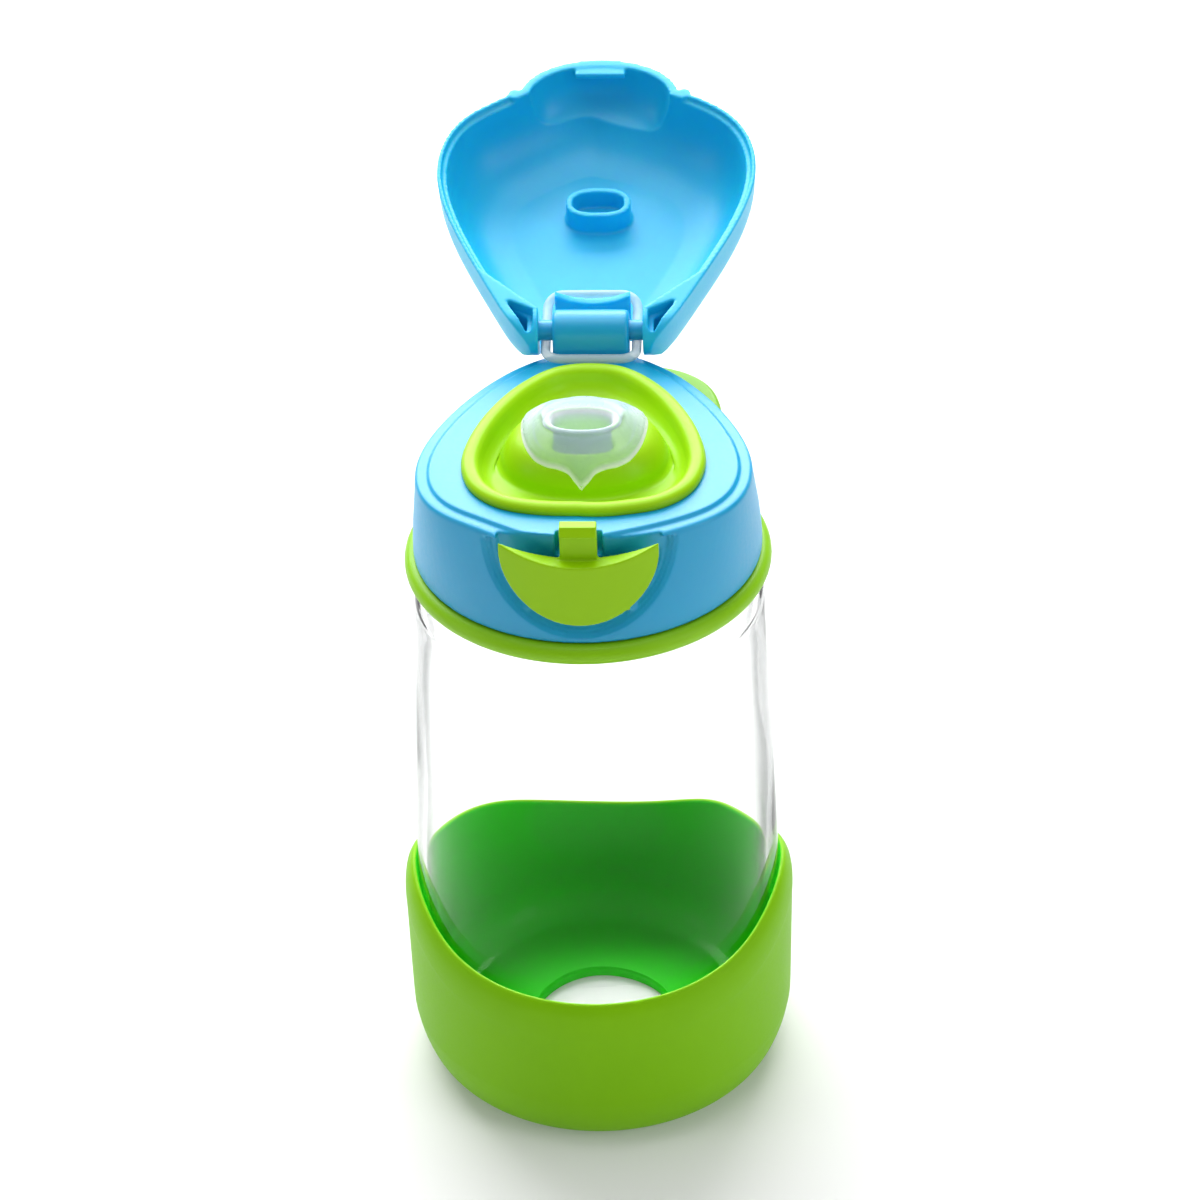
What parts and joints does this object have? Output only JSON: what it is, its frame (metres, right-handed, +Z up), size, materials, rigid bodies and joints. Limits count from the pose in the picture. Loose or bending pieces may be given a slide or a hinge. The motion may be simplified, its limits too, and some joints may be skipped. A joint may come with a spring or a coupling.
{
  "type": "kids water bottle",
  "caption": "Clear kids' bottle with a flip lid, soft spout, push-button latch, screw-on cap, carry loop and a soft boot.",
  "frame": {"origin": "on the bottle's axis, at the level of the flat it stands on", "axes": "+Z up the bottle's axis, -Y towards the latch button and the drinking side, +Y towards the lid's hinge and the carry loop"},
  "size_m": [0.0806, 0.1461, 0.1747],
  "materials": {
    "clear_plastic": "polished clear copolyester",
    "green_rubber": "smooth silicone",
    "strap_rubber": "smooth silicone",
    "blue_plastic": "satin moulded",
    "inner_plastic": "plain moulded",
    "white_rubber": "smooth translucent silicone",
    "lime_plastic": "glossy moulded",
    "spout_rubber": "soft translucent silicone",
    "steel": "drawn wire"
  },
  "bodies": {
    "bottle": {"bottle_body": "clear_plastic", "base_boot": "green_rubber", "carry_strap": "strap_rubber"},
    "seal": {"neck_seal": "white_rubber"},
    "cap": {"collar_shell": "blue_plastic", "inner_cap": "inner_plastic", "spout_dish": "lime_plastic", "spout": "spout_rubber", "button_spring": "steel", "hinge_band": "white_rubber"},
    "lid": {"lid_shell": "blue_plastic", "hinge_pin": "blue_plastic"},
    "latch": {"latch_button": "lime_plastic"}
  },
  "joints": [
    {"name": "cap_lift", "type": "slide", "parent": "bottle", "child": "seal", "axis": [0, 0, 1], "range_m": [0, 0.007]},
    {"name": "cap_unscrew", "type": "hinge", "parent": "seal", "child": "cap", "pos_m": [0, 0, 0.13], "axis": [0, 0, 1], "range_deg": [0, 630]},
    {"name": "lid_hinge", "type": "hinge", "parent": "cap", "child": "lid", "pos_m": [0, 0.0358, 0.1508], "axis": [1, 0, 0], "range_deg": [0, 164.8], "stiffness_Nm_per_rad": 0.01, "deforming": ["hinge_band"]},
    {"name": "button_press", "type": "hinge", "parent": "cap", "child": "latch", "pos_m": [0, -0.0307, 0.1309], "axis": [-1, 0, 0], "range_deg": [0, 5], "stiffness_Nm_per_rad": 0.5, "deforming": ["button_spring"]}
  ],
  "couplings": [
    {"joint": "cap_lift", "follows": "cap_unscrew", "m_per_rad": 0.00063662}
  ]
}
